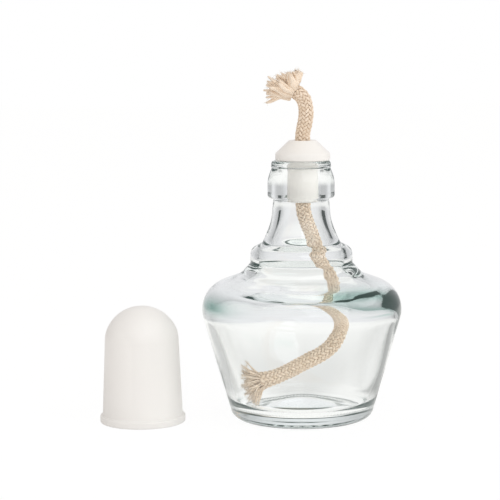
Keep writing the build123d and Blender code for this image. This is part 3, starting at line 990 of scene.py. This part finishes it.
class LAMP_OT_stage(bpy.types.Operator):
    """Camera, surroundings, floor and key light"""

    bl_idname = "spirit_lamp.stage"
    bl_label = "Stage"

    def execute(self, context):
        stage = context.scene.lamp_stage
        context.scene.view_settings.view_transform = "Standard"
        self.camera(stage)
        self.surroundings(stage)
        self.floor(stage)
        self.key_light(stage)
        return {"FINISHED"}

    def camera(self, stage):
        """Camera at the photograph's place, level with the backdrop apart from its dip and its roll."""
        data = bpy.data.cameras.new("camera")
        data.lens = stage.camera_lens
        camera = bpy.data.objects.new("camera", data)
        tilt = Matrix.Rotation(math.pi / 2 - stage.camera_dip, 4, "X")
        roll = Matrix.Rotation(stage.camera_roll, 4, "Z")
        camera.matrix_world = Matrix.Translation(stage.camera_place) @ tilt @ roll
        bpy.context.scene.collection.objects.link(camera)
        bpy.context.scene.camera = camera

    def surroundings(self, stage, far_left=-0.5, far_right=1.0):
        """White surroundings. The camera sees them plain. Gloss and glass see a backdrop that dims to the
        sides, low dark flags beside it, which draw the lines in the glass, and a bright front. Gloss
        sees the left flag alone. Matt surfaces take the fill from them, and the glow in the bottle,
        which change from left to right."""
        world = bpy.data.worlds.new("studio")
        world.use_nodes = True
        bpy.context.scene.world = world
        tree = world.node_tree
        direction = new_node(tree, "ShaderNodeTexCoord").outputs["Generated"]
        axes = new_node(tree, "ShaderNodeSeparateXYZ", {"Vector": direction}).outputs
        aside, left, right = self.turns(tree, axes)
        flag_foot = stage.flag_top - stage.flag_edge
        low = self.step(tree, axes["Z"], math.sin(stage.flag_top), math.sin(flag_foot))
        left_dark = self.step(tree, left, stage.left_flag, stage.left_flag + stage.flag_edge)
        right_dark = self.step(tree, right, stage.right_flag, stage.right_flag + stage.flag_edge)
        flag = opaque(stage.flag)
        backdrop = self.backdrop(tree, aside, stage)
        left_side = mixed_colour(tree, maths(tree, "MULTIPLY", left_dark, low), backdrop, flag)
        both_sides = mixed_colour(tree, maths(tree, "MULTIPLY", right_dark, low), left_side, flag)
        front = self.step(tree, aside, stage.front_start, stage.front_end)
        mirrored = mixed_colour(tree, front, left_side, opaque(stage.front))
        through = mixed_colour(tree, front, both_sides, opaque(stage.front))
        across = new_node(
            tree, "ShaderNodeMapRange", {"Value": axes["X"], "From Min": far_left, "From Max": far_right}
        ).outputs["Result"]
        glow = mixed_colour(tree, across, opaque(stage.glow_left), opaque(stage.glow_right))
        fill = mixed_colour(tree, across, opaque(stage.fill_left), opaque(stage.fill_right))
        light = self.by_ray(tree, mirrored, through, glow, fill, stage)
        tree.links.new(light, tree.nodes["Background"].inputs["Color"])

    def turns(self, tree, axes):
        """Turn away from the backdrop along +Y: to either side, to the left and to the right."""
        right = maths(tree, "ARCTAN2", axes["X"], axes["Y"])
        left = maths(tree, "MULTIPLY", right, -1.0)
        return maths(tree, "ABSOLUTE", right), left, right

    def backdrop(self, tree, aside, stage):
        """Backdrop that dims to either side, as gloss and glass show it."""
        lost = self.step(tree, aside, 0.0, stage.dim_end, stage.dim)
        return mixed_colour(tree, lost, opaque(stage.backdrop), black)

    def step(self, tree, value, start, end, full=1.0):
        """Zero up to the start, full from the end on, and smooth between."""
        limits = {"Value": value, "From Min": start, "From Max": end, "To Max": full}
        made = new_node(tree, "ShaderNodeMapRange", limits, interpolation_type="SMOOTHSTEP")
        return made.outputs["Result"]

    def by_ray(self, tree, mirrored, through, glow, fill, stage):
        """Light by the way that it comes: plain white to the camera, its own look to gloss and to glass,
        the fill to matt surfaces, and the glow to matt surfaces behind glass."""
        rays = new_node(tree, "ShaderNodeLightPath").outputs
        indirect = maths(tree, "MAXIMUM", rays["Is Glossy Ray"], rays["Is Transmission Ray"])
        matt = maths(tree, "GREATER_THAN", rays["Diffuse Depth"], 0.5)
        raised = new_node(tree, "ShaderNodeVectorMath", {0: glow, "Scale": stage.glow}, operation="SCALE")
        shown = mixed_colour(tree, rays["Is Transmission Ray"], mirrored, through)
        lit = mixed_colour(tree, matt, shown, raised.outputs["Vector"])
        light = mixed_colour(tree, indirect, fill, lit)
        return mixed_colour(tree, rays["Is Camera Ray"], light, white)

    def floor(self, stage, reach=3.0, paper_share=0.07, brightness=1.02):
        """White paper floor that shows as bright as the backdrop and still takes a faint shadow. Gloss
        and glass show it in the shade behind the bottle, dim at the bottle's sides, and as dark as the
        backdrop far away."""
        material, tree, shader = new_material(
            "white_paper", Base_Color=opaque((0.9, 0.9, 0.9)), Roughness=1.0, Specular_IOR_Level=0.0
        )
        place = object_place(tree)
        distance = new_node(tree, "ShaderNodeVectorMath", {0: place}, operation="LENGTH").outputs["Value"]
        axes = new_node(tree, "ShaderNodeSeparateXYZ", {"Vector": place}).outputs
        aside, left, right = self.turns(tree, axes)
        on_left = self.step(tree, left, stage.side_start, stage.side_end, stage.side_left)
        on_right = self.step(tree, right, stage.side_start, stage.side_end, stage.side_right)
        begun = self.step(tree, distance, stage.side_near, stage.side_dark)
        lasting = self.step(tree, distance, stage.side_reach, stage.side_fade)
        ring = maths(tree, "MULTIPLY", begun, lasting)
        sides = maths(tree, "MULTIPLY", maths(tree, "ADD", on_left, on_right), ring)
        behind = self.step(tree, aside, stage.shade_end, stage.shade_start, stage.shade)
        nearby = self.step(tree, distance, stage.shade_reach, stage.shade_fade)
        lost = maths(tree, "ADD", sides, maths(tree, "MULTIPLY", behind, nearby))
        paper = mixed_colour(tree, lost, opaque(stage.paper), black)
        beyond = self.step(tree, distance, stage.paper_start, stage.paper_end)
        shown = mixed_colour(tree, beyond, paper, self.backdrop(tree, aside, stage))
        glow = (stage.glow_left + stage.glow_right) / 2
        fill = opaque((stage.fill_left + stage.fill_right) / 2)
        light = self.by_ray(tree, shown, shown, glow, fill, stage)
        bright = new_node(tree, "ShaderNodeEmission", {"Color": light, "Strength": brightness})
        diffuse = new_node(tree, "ShaderNodeLightPath").outputs["Is Diffuse Ray"]
        seen = maths(tree, "MULTIPLY", maths(tree, "SUBTRACT", 1.0, diffuse), 1 - paper_share)
        shaders = {0: seen, 1: shader.outputs[0], 2: bright.outputs[0]}
        surface = new_node(tree, "ShaderNodeMixShader", shaders)
        tree.links.new(surface.outputs[0], tree.nodes["Material Output"].inputs["Surface"])
        corners = np.array([(-reach, -reach, 0), (reach, -reach, 0), (reach, reach, 0), (-reach, reach, 0)])
        mesh_piece("floor", corners, [(0, 1, 2, 3)], material)

    def key_light(self, stage):
        """Large square soft light that faces the middle of the bottle."""
        data = bpy.data.lights.new("key", "AREA")
        data.size = stage.key_width
        data.energy = stage.key_power
        data.color = stage.key_tone
        light = bpy.data.objects.new("key", data)
        place = Vector(stage.key_place)
        facing = (Vector((0, 0, lip_top / 2)) - place).to_track_quat("-Z", "Y")
        light.matrix_world = Matrix.Translation(place) @ facing.to_matrix().to_4x4()
        bpy.context.scene.collection.objects.link(light)


class LAMP_OT_bottle(bpy.types.Operator):
    """Blown glass bottle with a collar, a beaded neck and a knurled foot"""

    bl_idname = "spirit_lamp.bottle"
    bl_label = "Bottle"

    def execute(self, context):
        shape = context.scene.lamp_bottle
        outline, first_inner, bearing_in, bearing_out = bottle_outline(shape)
        vertices, poles, faces = turned(outline, segments=4 * shape.knurl_count)
        # The outline's first point is a pole, so the rings start one point later
        green = blown_glass(vertices, first_inner - 1, shape, bearing_in, bearing_out)
        vertices = np.concatenate([vertices.reshape(-1, 3), poles])
        glass = kept_material(glass_material, "bottle_glass")
        bottle = mesh_piece("glass_bottle", vertices, faces, glass)
        point_values(bottle.data, "green", np.append(green.ravel(), [0, 0]))
        settle(bottle, "bottle", "clear_glass", "bottle_body", "bottle_neck")
        return {"FINISHED"}


class LAMP_OT_holder(bpy.types.Operator):
    """Porcelain wick holder that rests on the lip"""

    bl_idname = "spirit_lamp.holder"
    bl_label = "Wick holder"

    def execute(self, context):
        outline = holder_outline(context.scene.lamp_holder)
        vertices, _, faces = turned(outline, segments=160, looped=True)
        porcelain = kept_material(porcelain_material, "holder_porcelain")
        holder = mesh_piece("porcelain_holder", vertices + np.array([holder_x, 0, 0]), faces, porcelain)
        settle(holder, "holder", "porcelain", "wick_holder")
        return {"FINISHED"}


class LAMP_OT_frays(bpy.types.Operator):
    """Frayed yarn ends of the wick, at its top and at its tail"""

    bl_idname = "spirit_lamp.frays"
    bl_label = "Frayed ends"

    def execute(self, context):
        shape = context.scene.lamp_wick
        cotton = kept_material(cotton_material, "wick_cotton")
        top = yarn_piece("top_fray", self.top(shape), cotton)
        settle(top, "wick", "cotton", "wick_fray_top")
        tail = yarn_piece("tail_fray", self.tail(shape), cotton)
        hang(tail, "wick_fray_tail")
        return {"FINISHED"}

    def top(self, shape):
        """Thick tuft that fans from the left, over the top, to the right, as seen from the front."""
        points = route_points("top_end", upper_route())
        chance = np.random.default_rng(11)
        rise, roots, aims = tuft(
            chance,
            shape.top_yarns,
            start=points[-1],
            rise_way=np.array([0.5, 0.0, 0.87]),
            spread=shape.top_spread,
            bearings=(180, 128, 58),
            opening=42,
            scatter=(9, 6),
        )
        # Lengths in metres from the yarn with the lowest root to the one with the highest
        reach = np.interp(rise, [-1, -0.5, 0, 1], [0.0096, 0.0103, 0.0074, 0.0039])
        shortest, longest = 0.86, 1.08
        lengths = reach * chance.uniform(shortest, longest, shape.top_yarns)
        width = np.full(shape.top_yarns, shape.yarn_width)
        return fray(points, shape, chance, roots, aims, lengths, shape.top_lead, width)

    def tail(self, shape):
        """Loose brush of fine yarns that opens to the left at the end in the bottle, with a few thick
        ones on it."""
        points = route_points("tail_end", wick_line(holder_low.z, tail_route))
        chance = np.random.default_rng(5)
        _, roots, aims = tuft(
            chance,
            shape.tail_yarns,
            start=points[-1] + np.array([0.0016, 0.0, 0.0002]),
            rise_way=np.array([-0.2, 0.0, 0.98]),
            spread=shape.tail_spread,
            bearings=(258, 200, 142),
            opening=44,
            scatter=(9, 8),
        )
        shortest, longest = 0.75, 1.15
        lengths = shape.tail_yarn_length * chance.uniform(shortest, longest, shape.tail_yarns)
        every_eighth = np.arange(shape.tail_yarns) % 8 == 7
        width = shape.fine_yarn_width * np.where(every_eighth, 2.0, 1.0)
        return fray(points, shape, chance, roots, aims, lengths, shape.tail_lead, width)


class LAMP_OT_wick(bpy.types.Operator):
    """Braided wick: the stretch through the holder and out at the top, and the tail in the bottle"""

    bl_idname = "spirit_lamp.wick"
    bl_label = "Braided wick"

    def execute(self, context):
        shape = context.scene.lamp_wick
        cotton = kept_material(cotton_material, "wick_cotton")
        self.upper(shape, cotton)
        self.tail(shape, cotton)
        return {"FINISHED"}

    def upper(self, shape, cotton):
        """Stretch from the sleeve's foot to the frayed top."""
        points = route_points("upper_line", upper_route())
        piece = yarn_piece("wick_upper", braid(points, shape, np.random.default_rng(3)), cotton)
        nodes = ["wick_jacket_top", "wick_jacket_seat", "wick_core_top", "wick_core_seat"]
        settle(piece, "wick", "cotton", *nodes)

    def tail(self, shape, cotton):
        """Stretch from the sleeve's foot to the frayed end in the bottle."""
        points = route_points("tail_line", wick_line(holder_low.z, tail_route))
        piece = yarn_piece("wick_tail", braid(points, shape, np.random.default_rng(4), flare=0.22), cotton)
        hang(piece, "wick_jacket_tail", "wick_core_tail")


class LAMP_OT_cap(bpy.types.Operator):
    """Snuffer cap that stands beside the bottle"""

    bl_idname = "spirit_lamp.cap"
    bl_label = "Snuffer cap"

    def execute(self, context):
        vertices, poles, faces = turned(cap_outline(context.scene.lamp_cap), segments=200)
        centre = (cap_low + cap_high) / 2
        vertices = np.concatenate([vertices.reshape(-1, 3), poles]) + np.array([centre.x, centre.y, 0])
        plastic = kept_material(plastic_material, "cap_plastic")
        cap = mesh_piece("white_cap", vertices, faces, plastic)
        settle(cap, "cap", "white_plastic", "snuffer_cap")
        return {"FINISHED"}


settings = {
    "lamp_bottle": BottleShape,
    "lamp_holder": HolderShape,
    "lamp_wick": WickShape,
    "lamp_cap": CapShape,
    "lamp_finishes": Finishes,
    "lamp_stage": StageSettings,
}
operators = [LAMP_OT_stage, LAMP_OT_bottle, LAMP_OT_holder, LAMP_OT_frays, LAMP_OT_wick, LAMP_OT_cap]


class LAMP_PT_panel(bpy.types.Panel):
    """Sizes, colours and building steps of the spirit lamp"""

    bl_idname = "LAMP_PT_panel"
    bl_label = "Spirit lamp"
    bl_space_type = "VIEW_3D"
    bl_region_type = "UI"
    bl_category = "Spirit lamp"

    def draw(self, context):
        for made in operators:
            self.layout.operator(made.bl_idname)
        for name, group in settings.items():
            box = self.layout.box()
            box.label(text=group.__doc__)
            for size in group.__annotations__:
                box.prop(getattr(context.scene, name), size)


def register():
    """Adds the classes, and the settings to every scene."""
    for made in (*settings.values(), *operators, LAMP_PT_panel):
        bpy.utils.register_class(made)
    for name, group in settings.items():
        setattr(bpy.types.Scene, name, PointerProperty(type=group))


def unregister():
    """Takes the settings and the classes out again."""
    for name in settings:
        delattr(bpy.types.Scene, name)
    for made in (LAMP_PT_panel, *operators, *settings.values()):
        bpy.utils.unregister_class(made)


def main():
    """Builds the lamp on its stage."""
    register()
    bpy.ops.spirit_lamp.stage()
    bpy.ops.spirit_lamp.bottle()
    bpy.ops.spirit_lamp.holder()
    bpy.ops.spirit_lamp.frays()
    bpy.ops.spirit_lamp.wick()
    bpy.ops.spirit_lamp.cap()


if __name__ == "__main__":
    main()
